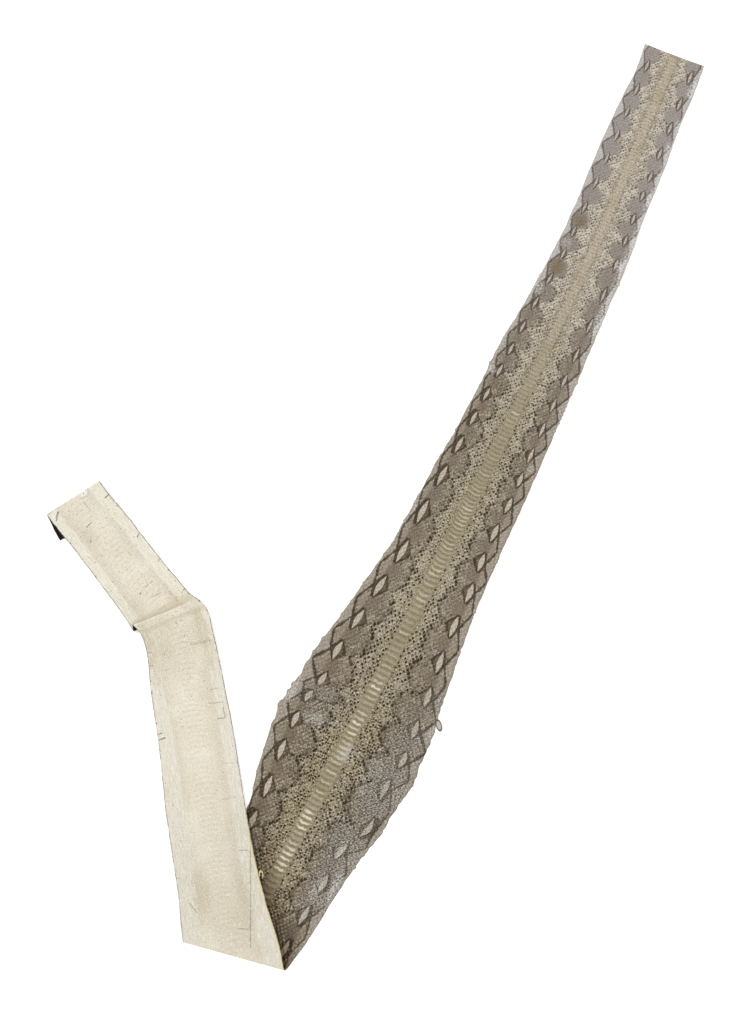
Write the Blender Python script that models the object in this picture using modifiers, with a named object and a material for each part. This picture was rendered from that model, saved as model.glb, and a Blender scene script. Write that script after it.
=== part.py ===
# A tanned python skin: one long strip of leather, cut open along the back, so that the belly
# plates run down its middle. It lies flat, is folded over once at its lower end, has a small
# pleat where it turns, and is tucked under at its far end.
#
# Metres, +Z up. The skin rests on Z = 0, with the origin under the middle of its box.
# "Along" runs from the narrow patterned end at the upper right, down through the main fold and
# up the other limb to the tucked end. Left and right are those of someone who looks that way
# at the patterned side of the skin, before it is folded.
import math

import bpy
import numpy as np

THICKNESS = 0.0014

# The cut skin before any fold: where its middle line starts, and how its first end is cut
START = (0.4784, 0.7256)
START_LEAN = 4.0
LENGTH = 2.474
# Distance along, and how many degrees the middle line heads to the left of straight down
COURSE = (
    (0.000, 22.6), (0.240, 22.8), (0.480, 25.2), (0.800, 26.3), (1.120, 27.2), (1.440, 28.2),
    (1.570, 29.5), (1.624, 42.0), (1.696, 42.5), (1.792, 41.0), (1.952, 39.7), (2.050, 40.3),
    (2.100, 43.5), (2.150, 52.0), (2.190, 57.0), (2.474, 56.6),
)
# Distance along, and how far the skin reaches from the middle line to its left and right edge
REACH = (
    (0.000, 0.0490, 0.0512), (0.048, 0.0470, 0.0541), (0.093, 0.0499, 0.0528),
    (0.184, 0.0542, 0.0563), (0.272, 0.0531, 0.0574), (0.320, 0.0539, 0.0605),
    (0.424, 0.0605, 0.0627), (0.480, 0.0653, 0.0643), (0.536, 0.0704, 0.0672),
    (0.616, 0.0720, 0.0704), (0.696, 0.0747, 0.0736), (0.768, 0.0808, 0.0758),
    (0.909, 0.0867, 0.0816), (0.960, 0.0938, 0.0848), (1.040, 0.1069, 0.0954),
    (1.104, 0.1168, 0.1046), (1.139, 0.1200, 0.1134), (1.192, 0.1283, 0.1174),
    (1.256, 0.1248, 0.1187), (1.288, 0.1194, 0.1133), (1.328, 0.1112, 0.1114),
    (1.368, 0.1005, 0.1030), (1.416, 0.0944, 0.0966), (1.536, 0.0904, 0.0861),
    (1.605, 0.0822, 0.0744), (1.656, 0.0758, 0.0694), (1.728, 0.0685, 0.0638),
    (1.856, 0.0654, 0.0614), (1.968, 0.0608, 0.0603), (2.064, 0.0602, 0.0563),
    (2.120, 0.0550, 0.0560), (2.155, 0.0541, 0.0579), (2.184, 0.0614, 0.0470),
    (2.216, 0.0587, 0.0454), (2.280, 0.0531, 0.0488), (2.344, 0.0467, 0.0531),
    (2.400, 0.0451, 0.0541), (2.474, 0.0454, 0.0602),
)

# The main fold: the two ends of its outer edge, where it is met along the skin, its bend's
# radius, and the length over which the folded limb sinks to the level of what it rests on
FOLD_LEFT = (-0.3072, -0.6936)
FOLD_RIGHT = (-0.1408, -0.7400)
FOLD_MET_AT = 1.605
FOLD_RADIUS = 0.0050
FOLD_SINKS_OVER = 0.42

# The pleat: its crease runs from a pivot near the right edge out to the left edge. Beyond it
# the skin is turned about that pivot, and what is then too long lies folded in the pleat.
PLEAT_PIVOT = (-0.2848, -0.1496)
PLEAT_LEFT = (-0.3728, -0.1840)
PLEAT_MET_AT = 2.160
PLEAT_TURN = 12.0
PLEAT_RADIUS = 0.0015
PLEAT_SOFTENING = 1.5
PLEAT_RISES_OVER = 0.11
PLEAT_SIDE = 105.0

# The tucked end: the two ends of its outer edge, and how its bend lifts the skin before it
TUCK_LEFT = (-0.5210, -0.0090)
TUCK_RIGHT = (-0.4448, 0.0400)
TUCK_MET_AT = 2.410
TUCK_RADIUS = 0.0026
TUCK_RISES_OVER = 0.14

# The edges lift a little in long, low waves, but not where the folded limb lies on them
RIPPLE_HEIGHT = 0.0032
RIPPLE_LENGTH = 0.196
RIPPLE_SHIFT = 1.9
RIPPLE_ENDS = (1.02, 1.20)
RIPPLE_RESUMES = (2.00, 2.10, 2.20, 2.30)

# The grid: columns across, and the spacing of its rows on the flat and in each bend
COLUMNS = 14
ROW_SPACING = 0.024
FOLD_ROW_SPACING = 0.0020
PLEAT_ROW_SPACING = 0.0011
TUCK_ROW_SPACING = 0.0013
ROWS_TURN_OVER = 0.095
ROW_CLEARANCE = 0.006
SEARCH_REACH = 0.22
TABLE_STEPS = 2500


def clear_scene():
    for old in list(bpy.data.objects):
        bpy.data.objects.remove(old)


def smooth_step(low, high, value):
    t = np.clip((value - low) / (high - low), 0, 1)
    return t * t * (3 - 2 * t)


def smooth_curve(at, stations, column):
    """Value at a distance along, on a smooth curve through the stations."""
    table = np.array(stations)
    places, values = table[:, 0], table[:, column]
    slopes = np.gradient(values, places)
    first = np.clip(np.searchsorted(places, at, side="right") - 1, 0, len(places) - 2)
    gap = places[first + 1] - places[first]
    t = np.clip((at - places[first]) / gap, 0, 1)
    start = (1 + 2 * t) * (1 - t) ** 2 * values[first] + t * (1 - t) ** 2 * gap * slopes[first]
    end = t * t * (3 - 2 * t) * values[first + 1] + t * t * (t - 1) * gap * slopes[first + 1]
    return start + end


def running_total(rates, spacing):
    return np.concatenate([[0], np.cumsum((rates[1:] + rates[:-1]) / 2) * spacing])


def straight_edge(left, right, outward_turn):
    """A fold's outer edge: its left end, the way towards it, and the way out of the skin."""
    left, right = np.array(left), np.array(right)
    way = (left - right) / np.linalg.norm(left - right)
    return left, way, outward_turn * np.array([-way[1], way[0]])


def angle_of(way):
    return math.atan2(way[1], way[0])


class CutSkin:
    """The strip before it is folded: a middle line and two edges, in the plane."""

    def __init__(self):
        self.along = np.linspace(0, LENGTH, TABLE_STEPS)
        heading = np.radians(smooth_curve(self.along, COURSE, 1))
        spacing = self.along[1]
        self.middle = np.stack([
            START[0] - running_total(np.sin(heading), spacing),
            START[1] - running_total(np.cos(heading), spacing),
        ], axis=1)
        self.left_way = np.stack([-np.cos(heading), np.sin(heading)], axis=1)
        left_reach = smooth_curve(self.along, REACH, 1)[:, None]
        right_reach = smooth_curve(self.along, REACH, 2)[:, None]
        self.left_edge = self.middle + left_reach * self.left_way
        self.right_edge = self.middle - right_reach * self.left_way

    def at(self, curve, where):
        return np.array([np.interp(where, self.along, curve[:, axis]) for axis in (0, 1)])

    def crossing(self, curve, point, way, near):
        """How far along one of the three lines crosses a straight line across the skin."""
        window = np.abs(self.along - near) < SEARCH_REACH
        past = (curve[window] - point) @ np.array([-way[1], way[0]])
        past = past * np.sign(past[-1] - past[0])
        return np.interp(0, past, self.along[window])


def mirror_in_fold(points):
    """Points of the folded limb as they lie in the cut skin, by opening the main fold."""
    left, way, outward = straight_edge(FOLD_LEFT, FOLD_RIGHT, 1)
    crease = left + (math.pi / 2 - 1) * FOLD_RADIUS * outward
    return [point + 2 * ((crease - point) @ outward) * outward for point in points]


def turn_back_pleat(points):
    """Points beyond the pleat as they lay before it was folded."""
    turn = math.radians(PLEAT_TURN)
    spin = np.array([[math.cos(turn), math.sin(turn)], [-math.sin(turn), math.cos(turn)]])
    pivot = np.array(PLEAT_PIVOT)
    return [pivot + spin @ (np.array(point) - pivot) for point in points]


def bend_rows(skin, edge, met_at, start, stop, spacing):
    """Rows parallel to a bend in the cut skin, each as distance along, point and way."""
    point, way, ahead = edge
    rows = []
    for offset in np.arange(start, stop, spacing):
        crossed = point + offset * ahead
        rows.append((skin.crossing(skin.middle, crossed, way, met_at), crossed, way))
    return rows


def all_bend_rows(skin):
    fold = straight_edge(FOLD_LEFT, FOLD_RIGHT, 1)
    pleat = straight_edge(*mirror_in_fold([np.array(PLEAT_LEFT), np.array(PLEAT_PIVOT)]), 1)
    tuck = straight_edge(*mirror_in_fold(turn_back_pleat([TUCK_LEFT, TUCK_RIGHT])), 1)
    fold_arc, pleat_arc, tuck_arc = (
        math.pi * radius for radius in (FOLD_RADIUS, PLEAT_RADIUS, TUCK_RADIUS))
    return [
        bend_rows(skin, fold, FOLD_MET_AT, -FOLD_RADIUS - FOLD_ROW_SPACING,
                  fold_arc - FOLD_RADIUS + 1.5 * FOLD_ROW_SPACING, FOLD_ROW_SPACING),
        bend_rows(skin, pleat, PLEAT_MET_AT, -2 * PLEAT_ROW_SPACING, 4 * pleat_arc,
                  PLEAT_ROW_SPACING),
        bend_rows(skin, tuck, TUCK_MET_AT, -TUCK_RADIUS - 1.5 * TUCK_ROW_SPACING,
                  tuck_arc - TUCK_RADIUS + 2.5 * TUCK_ROW_SPACING, TUCK_ROW_SPACING),
    ]


def rows_across(skin):
    """Straight rows over the cut skin: parallel to each bend near it, and square elsewhere."""
    bends = all_bend_rows(skin)
    rows = [row for bend in bends for row in bend]
    for where in np.linspace(0, LENGTH, round(LENGTH / ROW_SPACING) + 1):
        angle = angle_of(skin.at(skin.left_way, where))
        angle += math.radians(START_LEAN) * (1 - smooth_step(0, ROWS_TURN_OVER, where))
        distances = []
        for bend in bends:
            distances.append(max(bend[0][0] - where, where - bend[-1][0]))
            lean = angle_of(bend[0][2]) - angle
            angle += lean * (1 - smooth_step(0, ROWS_TURN_OVER, distances[-1]))
        if min(distances) > ROW_CLEARANCE:
            way = np.array([math.cos(angle), math.sin(angle)])
            rows.append((where, skin.at(skin.middle, where), way))
    return sorted(rows, key=lambda row: row[0])


def roll(points, height, edge, radius, upward, active):
    """Roll what lies past a straight edge round a cylinder, and back over or under the rest."""
    point, way, outward = edge
    past = np.where(active, (points - point) @ outward + radius, -1.0)
    turned = np.clip(past, 0, math.pi * radius) / radius
    returned = np.maximum(past - math.pi * radius, 0)
    shift = np.where(past > 0, radius * np.sin(turned) - returned - past, 0)
    height = height + upward * radius * (1 - np.cos(turned))
    return points + shift[:, None] * outward, height, returned


def pleat(points, height, active):
    """Turn the far part of the skin about the pivot, and fold what is too long into a pleat.

    Each point keeps its distance from the pivot. Along an arc round the pivot the skin runs to
    the crease, curls down and back under itself, and curls down and on again. Near the pivot,
    where little is too long, the two curls are shallow and wide.
    """
    pivot = np.array(PLEAT_PIVOT)
    start_angle = angle_of(np.array(PLEAT_LEFT) - pivot)
    out = points - pivot
    distance = np.maximum(np.hypot(out[:, 0], out[:, 1]), 1e-5)
    angle = start_angle - np.arctan2(out[:, 1], out[:, 0])
    angle = (angle + math.pi) % (2 * math.pi) - math.pi
    arc = distance * angle

    spare = math.radians(PLEAT_TURN) * distance
    full_curls = 2 * math.pi * PLEAT_RADIUS
    radius = PLEAT_RADIUS * (1 + PLEAT_SOFTENING * (1 - np.clip(spare / full_curls, 0, 1)))
    bends = np.linspace(0, math.pi, 400)
    bend = np.interp(spare / (2 * radius), bends - np.sin(bends), bends)
    back = np.maximum(spare - full_curls, 0) / 2
    curl = radius * bend
    drop = 2 * radius * (1 - np.cos(bend))

    first = np.clip(arc, 0, curl) / radius
    between = np.clip(arc - curl, 0, back)
    second = np.clip(arc - curl - back, 0, curl) / radius
    beyond = np.maximum(arc - 2 * curl - back, 0)
    ahead = np.minimum(arc, 0) + radius * np.sin(first) - between
    ahead = ahead + radius * (np.sin(bend) - np.sin(bend - second)) + beyond
    fallen = radius * (1 - np.cos(first)) + radius * (np.cos(bend - second) - np.cos(bend))

    side = math.radians(PLEAT_SIDE)
    stretch = np.clip((np.abs(angle) - side) / (math.pi - side), 0, 1) ** 2 / 2
    turned = start_angle - (ahead + np.sign(angle) * stretch * spare) / distance
    rise = 1 - smooth_step(0, PLEAT_RISES_OVER, -arc)
    rise = rise * (1 - smooth_step(side / 2, side, -angle))
    lift = np.where(angle < 0, rise * drop, drop - fallen)
    moved = pivot + distance[:, None] * np.stack([np.cos(turned), np.sin(turned)], axis=1)
    return np.where(active[:, None], moved, points), height + np.where(active, lift, 0)


def ripples(along, across):
    """Height of the low waves along the edges."""
    first, last = RIPPLE_ENDS
    there = 1 - smooth_step(first, last, along)
    start, full, fade, stop = RIPPLE_RESUMES
    there = there + smooth_step(start, full, along) * (1 - smooth_step(fade, stop, along))
    phase = 2 * math.pi * along / RIPPLE_LENGTH + RIPPLE_SHIFT * np.sign(across)
    wave = (1 - np.cos(phase)) / 2
    return RIPPLE_HEIGHT * there * wave * smooth_step(0.5, 1.0, np.abs(across))


def lay_out(points, along, across):
    """Fold the cut skin and lay it down: points of the plane in, points in space out."""
    whole = np.ones(len(points), dtype=bool)
    fold = straight_edge(FOLD_LEFT, FOLD_RIGHT, 1)
    points, raised, returned = roll(points, np.zeros(len(points)), fold, FOLD_RADIUS, 1, whole)
    sinking = 1 - smooth_step(0, FOLD_SINKS_OVER, returned)
    height = ripples(along, across) + raised * np.where(returned > 0, sinking, 1)

    beyond_fold = along > (FOLD_MET_AT + PLEAT_MET_AT) / 2
    points, height = pleat(points, height, beyond_fold)

    beyond_pleat = along > (PLEAT_MET_AT + TUCK_MET_AT) / 2
    tuck = straight_edge(TUCK_LEFT, TUCK_RIGHT, -1)
    past = (points - tuck[0]) @ tuck[2]
    lift = 2 * TUCK_RADIUS * smooth_step(-TUCK_RISES_OVER, -TUCK_RADIUS, past)
    height = height + np.where(beyond_pleat, lift, 0)
    points, height, returned = roll(points, height, tuck, TUCK_RADIUS, -1, beyond_pleat)
    return np.column_stack([points, height + THICKNESS / 2])


def grid_points(skin, rows):
    """Every grid point of the folded skin, row by row, from the right edge to the left."""
    share = np.linspace(0, 1, COLUMNS + 1)
    flat, along = [], []
    for where, point, way in rows:
        left_at = skin.crossing(skin.left_edge, point, way, where)
        right_at = skin.crossing(skin.right_edge, point, way, where)
        left, right = skin.at(skin.left_edge, left_at), skin.at(skin.right_edge, right_at)
        flat.append(right + (left - right) * share[:, None])
        along.append(right_at + (left_at - right_at) * share)
    across = np.tile(2 * share - 1, len(rows))
    return lay_out(np.concatenate(flat), np.concatenate(along), across)


def skin_sheet():
    skin = CutSkin()
    rows = rows_across(skin)
    laid = grid_points(skin, rows)
    bpy.ops.mesh.primitive_grid_add(x_subdivisions=COLUMNS, y_subdivisions=len(rows) - 1, size=2)
    sheet = bpy.context.object
    sheet.name = sheet.data.name = "skin"
    grid = np.empty(3 * len(laid))
    sheet.data.vertices.foreach_get("co", grid)
    column = np.rint((grid[0::3] + 1) / 2 * COLUMNS).astype(int)
    row = np.rint((grid[1::3] + 1) / 2 * (len(rows) - 1)).astype(int)
    sheet.data.vertices.foreach_set("co", laid[row * (COLUMNS + 1) + column].ravel())
    sheet.data.shade_smooth()
    return sheet


def give_thickness(sheet):
    wall = sheet.modifiers.new("thickness", "SOLIDIFY")
    wall.thickness = THICKNESS
    wall.offset = 0.0


def tanned_leather():
    material = bpy.data.materials.new("tanned skin")
    material.use_nodes = True
    shader = material.node_tree.nodes["Principled BSDF"]
    shader.inputs["Base Color"].default_value = (0.31, 0.26, 0.20, 1)
    shader.inputs["Roughness"].default_value = 0.55
    shader.inputs["Metallic"].default_value = 0.0
    return material


def build():
    clear_scene()
    collection = bpy.data.collections.new("snake skin")
    bpy.context.scene.collection.children.link(collection)
    sheet = skin_sheet()
    give_thickness(sheet)
    sheet.data.materials.append(tanned_leather())
    for home in list(sheet.users_collection):
        home.objects.unlink(sheet)
    collection.objects.link(sheet)


build()
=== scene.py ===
import math

import bpy
import numpy as np
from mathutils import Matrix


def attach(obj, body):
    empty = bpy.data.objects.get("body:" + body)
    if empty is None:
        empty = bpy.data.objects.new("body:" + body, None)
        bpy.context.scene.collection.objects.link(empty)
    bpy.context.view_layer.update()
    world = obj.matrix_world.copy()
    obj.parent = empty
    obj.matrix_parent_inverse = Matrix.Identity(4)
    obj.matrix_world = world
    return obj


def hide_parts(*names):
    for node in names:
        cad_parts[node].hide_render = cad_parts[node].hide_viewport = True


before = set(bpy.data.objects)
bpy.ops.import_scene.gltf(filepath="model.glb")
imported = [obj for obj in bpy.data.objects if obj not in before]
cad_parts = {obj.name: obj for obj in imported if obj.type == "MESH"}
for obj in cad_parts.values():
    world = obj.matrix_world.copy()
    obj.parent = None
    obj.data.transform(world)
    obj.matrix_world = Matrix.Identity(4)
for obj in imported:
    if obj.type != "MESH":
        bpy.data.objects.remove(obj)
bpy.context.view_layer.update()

# A tanned python skin, laid on its flesh side, folded over once, pleated and tucked at its far end.
# Along runs from the narrow patterned end. Offset is the distance from the middle line, to the left of
# someone who looks that way at the patterned side. Metres, with lists measured in the photograph in pixels.
pixel = 0.0016

cut = {
    "start": (0.4784, 0.7256), "startLean": 4.0, "length": 2.474, "steps": 2500,
    "course": (   # distance along, and how many degrees the middle line heads left of straight down
        (0.000, 22.6), (0.240, 22.8), (0.480, 25.2), (0.800, 26.3), (1.120, 27.2), (1.440, 28.2),
        (1.570, 29.5), (1.624, 42.0), (1.696, 42.5), (1.792, 41.0), (1.952, 39.7), (2.050, 40.3),
        (2.100, 43.5), (2.150, 52.0), (2.190, 57.0), (2.474, 56.6)),
    "reach": (    # distance along, and how far the skin reaches to its left and right edge
        (0.000, 0.0490, 0.0512), (0.048, 0.0470, 0.0541), (0.093, 0.0499, 0.0528), (0.184, 0.0542, 0.0563),
        (0.272, 0.0531, 0.0574), (0.320, 0.0539, 0.0605), (0.424, 0.0605, 0.0627), (0.480, 0.0653, 0.0643),
        (0.536, 0.0704, 0.0672), (0.616, 0.0720, 0.0704), (0.696, 0.0747, 0.0736), (0.768, 0.0808, 0.0758),
        (0.909, 0.0867, 0.0816), (0.960, 0.0938, 0.0848), (1.040, 0.1069, 0.0954), (1.104, 0.1168, 0.1046),
        (1.139, 0.1200, 0.1134), (1.192, 0.1283, 0.1174), (1.256, 0.1248, 0.1187), (1.288, 0.1194, 0.1133),
        (1.328, 0.1112, 0.1114), (1.368, 0.1005, 0.1030), (1.416, 0.0944, 0.0966), (1.536, 0.0904, 0.0861),
        (1.605, 0.0822, 0.0744), (1.656, 0.0758, 0.0694), (1.728, 0.0685, 0.0638), (1.856, 0.0654, 0.0614),
        (1.968, 0.0608, 0.0603), (2.064, 0.0602, 0.0563), (2.120, 0.0550, 0.0560), (2.155, 0.0541, 0.0579),
        (2.184, 0.0614, 0.0470), (2.216, 0.0587, 0.0454), (2.280, 0.0531, 0.0488), (2.344, 0.0467, 0.0531),
        (2.400, 0.0451, 0.0541), (2.474, 0.0454, 0.0602)),
}
fold = {
    "left": (-0.3072, -0.6936), "right": (-0.1408, -0.7400), "metAt": 1.605,
    "radius": 0.0050, "sinksOver": 0.42,
}
pleat = {
    "pivot": (-0.2848, -0.1496), "left": (-0.3728, -0.1840), "metAt": 2.160, "turn": 12.0, "radius": 0.0015,
    "softening": 1.5, "risesOver": 0.11, "side": 105.0,
}
tuck = {
    "left": (-0.5210, -0.0090), "right": (-0.4448, 0.0400), "metAt": 2.410,
    "radius": 0.0026, "risesOver": 0.14,
}
ripple = {
    "height": 0.0032, "length": 0.196, "shift": 1.9, "ends": (1.02, 1.20),
    "resumes": (2.00, 2.10, 2.20, 2.30),
}
midHeight = 0.0007          # of the leather's middle surface where it lies flat


# the cut skin and how it is folded
def smoothStep(low, high, value):
    t = np.clip((value - low) / (high - low), 0, 1)
    return t * t * (3 - 2 * t)


def smoothCurve(at, stations, column=1):
    # a cubic between neighbouring stations, with the slope at each taken from its neighbours
    table = np.array(stations)
    places, values = table[:, 0], table[:, column]
    slopes = np.gradient(values, places)
    first = np.clip(np.searchsorted(places, at, side="right") - 1, 0, len(places) - 2)
    gap = places[first + 1] - places[first]
    t = np.clip((at - places[first]) / gap, 0, 1)
    start = (1 + 2 * t) * (1 - t) ** 2 * values[first] + t * (1 - t) ** 2 * gap * slopes[first]
    end = t * t * (3 - 2 * t) * values[first + 1] + t * t * (t - 1) * gap * slopes[first + 1]
    return start + end


def photoCurve(at, stations, column=1):
    # a smooth curve through stations measured in the photograph, in metres
    return smoothCurve(np.asarray(at) / pixel, stations, column) * pixel


def wobble(at, spacing, seed):
    # smooth chance values from -1 to 1, one every spacing, with soft steps between them
    values = np.random.default_rng(seed).uniform(-1, 1, 4096)
    place = np.asarray(at) / spacing + 50
    whole = np.floor(place).astype(int)
    share = smoothStep(0, 1, place - whole)
    return values[whole % 4096] * (1 - share) + values[(whole + 1) % 4096] * share


def runningTotal(rates, spacing):
    return np.concatenate([[0], np.cumsum((rates[1:] + rates[:-1]) / 2) * spacing])


edgeWear = {   # how far the cut edges wander, in pixels, and how long their waves are
    "left": ((0, .4), (300, .7), (560, 1.2), (690, 1.5), (725, 2.6), (760, 2.4), (790, 1.3), (900, .9),
             (1003, .5), (1546, .5)),
    "right": ((0, .4), (300, .6), (600, 1.0), (680, 1.7), (780, 1.9), (830, 1.5), (900, .8), (1003, .5),
              (1546, .5)),
    "waves": (0.021, 0.0068),
}
steps = np.linspace(0, cut["length"], cut["steps"])
heading = np.radians(smoothCurve(steps, cut["course"]))
aheadWay = np.stack([-np.sin(heading), -np.cos(heading)], axis=1)
leftWay = np.stack([-np.cos(heading), np.sin(heading)], axis=1)
middle = np.stack([cut["start"][axis] + runningTotal(aheadWay[:, axis], steps[1]) for axis in (0, 1)], axis=1)
sides = {"left": 1, "right": -1}
drawnReaches, reaches = {}, {}
for column, side in enumerate(sides, 1):
    drawnReaches[side] = smoothCurve(steps, cut["reach"], column)
    waves = [0.5 * wobble(steps, length, seed + column) for length, seed in zip(edgeWear["waves"], (10, 20))]
    reaches[side] = drawnReaches[side] + photoCurve(steps, edgeWear[side]) * sum(waves)
leftEdge, rightEdge = (middle + sides[side] * reaches[side][:, None] * leftWay for side in sides)


def reachAt(along, offset):
    # how far the skin reaches, on the side of the middle line that each place is on
    return np.where(offset > 0, *(np.interp(along, steps, reaches[side]) for side in sides))


def at(curve, where):
    return np.stack([np.interp(where, steps, curve[:, axis]) for axis in (0, 1)], axis=-1)


def crossing(curve, point, way, near, window=0.22):
    # how far along a line of the skin crosses a straight line across it
    close = np.abs(steps - near) < window
    past = (curve[close] - point) @ np.array([-way[1], way[0]])
    past = past * np.sign(past[-1] - past[0])
    return np.interp(0, past, steps[close])


def straightEdge(left, right, outwardTurn=1):
    # a fold's outer edge: its left end, the way towards it, and the way out of the skin
    left, right = np.array(left), np.array(right)
    way = (left - right) / np.linalg.norm(left - right)
    return left, way, outwardTurn * np.array([-way[1], way[0]])


foldEdge = straightEdge(fold["left"], fold["right"])
tuckEdge = straightEdge(tuck["left"], tuck["right"], -1)


def angleOf(way):
    return math.atan2(way[1], way[0])


def roll(points, height, edge, radius, upward, active):
    # what lies past the edge goes round a cylinder and back over or under the rest
    point, way, outward = edge
    past = np.where(active, (points - point) @ outward + radius, -1.0)
    turned = np.clip(past, 0, math.pi * radius) / radius
    returned = np.maximum(past - math.pi * radius, 0)
    shift = np.where(past > 0, radius * np.sin(turned) - returned - past, 0)
    return points + shift[:, None] * outward, height + upward * radius * (1 - np.cos(turned)), returned


def foldPleat(points, height, active):
    # each point keeps its distance from the pivot. Along an arc the skin runs to the crease, curls down
    # and back under itself, and curls down and on again; near the pivot the two curls are shallow and wide
    pivot = np.array(pleat["pivot"])
    startAngle = angleOf(np.array(pleat["left"]) - pivot)
    out = points - pivot
    distance = np.maximum(np.hypot(out[:, 0], out[:, 1]), 1e-5)
    angle = startAngle - np.arctan2(out[:, 1], out[:, 0])
    angle = (angle + math.pi) % (2 * math.pi) - math.pi
    arc = distance * angle
    spare = math.radians(pleat["turn"]) * distance
    fullCurls = 2 * math.pi * pleat["radius"]
    radius = pleat["radius"] * (1 + pleat["softening"] * (1 - np.clip(spare / fullCurls, 0, 1)))
    bends = np.linspace(0, math.pi, 400)
    bend = np.interp(spare / (2 * radius), bends - np.sin(bends), bends)
    back = np.maximum(spare - fullCurls, 0) / 2
    curl = radius * bend
    drop = 2 * radius * (1 - np.cos(bend))
    first = np.clip(arc, 0, curl) / radius
    between = np.clip(arc - curl, 0, back)
    second = np.clip(arc - curl - back, 0, curl) / radius
    beyond = np.maximum(arc - 2 * curl - back, 0)
    ahead = np.minimum(arc, 0) + radius * np.sin(first) - between
    ahead = ahead + radius * (np.sin(bend) - np.sin(bend - second)) + beyond
    fallen = radius * (1 - np.cos(first)) + radius * (np.cos(bend - second) - np.cos(bend))
    side = math.radians(pleat["side"])
    stretch = np.clip((np.abs(angle) - side) / (math.pi - side), 0, 1) ** 2 / 2
    turned = startAngle - (ahead + np.sign(angle) * stretch * spare) / distance
    rise = (1 - smoothStep(0, pleat["risesOver"], -arc)) * (1 - smoothStep(side / 2, side, -angle))
    lift = np.where(angle < 0, rise * drop, drop - fallen)
    moved = pivot + distance[:, None] * np.stack([np.cos(turned), np.sin(turned)], axis=1)
    return np.where(active[:, None], moved, points), height + np.where(active, lift, 0)


def edgeRipples(along, across):
    # long low waves, highest at the edges, and none where the folded limb lies on them
    start, full, fade, stop = ripple["resumes"]
    there = 1 - smoothStep(*ripple["ends"], along)
    there = there + smoothStep(start, full, along) * (1 - smoothStep(fade, stop, along))
    wave = (1 - np.cos(2 * math.pi * along / ripple["length"] + ripple["shift"] * np.sign(across))) / 2
    return ripple["height"] * there * wave * smoothStep(0.5, 1.0, np.abs(across))


def layOut(points, along, across):
    # folds the cut skin and lays it down: points of its plane in, points of its middle surface out
    points, raised, returned = roll(points, 0, foldEdge, fold["radius"], 1, True)
    sinking = 1 - smoothStep(0, fold["sinksOver"], returned)
    height = edgeRipples(along, across) + raised * np.where(returned > 0, sinking, 1)
    points, height = foldPleat(points, height, along > (fold["metAt"] + pleat["metAt"]) / 2)
    beyondPleat = along > (pleat["metAt"] + tuck["metAt"]) / 2
    past = (points - tuckEdge[0]) @ tuckEdge[2]
    lift = 2 * tuck["radius"] * smoothStep(-tuck["risesOver"], -tuck["radius"], past)
    height = height + np.where(beyondPleat, lift, 0)
    points, height, _ = roll(points, height, tuckEdge, tuck["radius"], -1, beyondPleat)
    return np.column_stack([points, height + midHeight])


def laySkin(points, along, across, lift):
    # the middle surface moved by lift along its normal, which points out of the patterned side
    small = 0.0003
    moves = [layOut(points + shift, along, across)
             for shift in ((-small, 0), (small, 0), (0, -small), (0, small))]
    normal = np.cross(moves[1] - moves[0], moves[3] - moves[2])
    normal = normal / np.linalg.norm(normal, axis=1)[:, None]
    return layOut(points, along, across) + normal * np.asarray(lift).reshape(-1, 1)


def mirrorInFold(points):
    # points of the folded limb as they lie in the cut skin, by opening the fold
    left, _, outward = foldEdge
    crease = left + (math.pi / 2 - 1) * fold["radius"] * outward
    return [point + 2 * ((crease - point) @ outward) * outward for point in np.array(points)]


def turnBackPleat(points):
    turn = math.radians(pleat["turn"])
    spin = np.array([[math.cos(turn), math.sin(turn)], [-math.sin(turn), math.cos(turn)]])
    pivot = np.array(pleat["pivot"])
    return [pivot + spin @ (np.array(point) - pivot) for point in points]


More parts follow.
